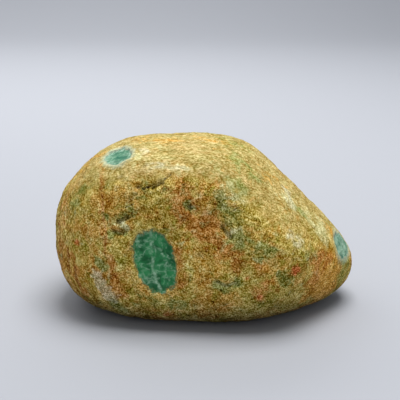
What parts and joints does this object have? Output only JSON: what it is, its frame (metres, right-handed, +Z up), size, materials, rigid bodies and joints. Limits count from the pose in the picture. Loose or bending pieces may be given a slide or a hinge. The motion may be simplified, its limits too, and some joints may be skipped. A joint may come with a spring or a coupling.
{
  "type": "raw jade boulder",
  "caption": "River-worn raw jade boulder with a broad front face, a long slope down to a low nose, a flat underside and small windows ground through the skin.",
  "frame": {"origin": "on the floor, under the middle of the bounding box", "axes": "+Z up, +X along the long way to the low nose, -Y out of the broad front face with the largest window"},
  "size_m": [0.1636, 0.1082, 0.0922],
  "materials": {
    "skin": "dry sandy weathered skin, ochre to olive brown, with waxy green jade in the ground windows"
  },
  "bodies": {
    "root": {"boulder": "skin"}
  },
  "joints": []
}
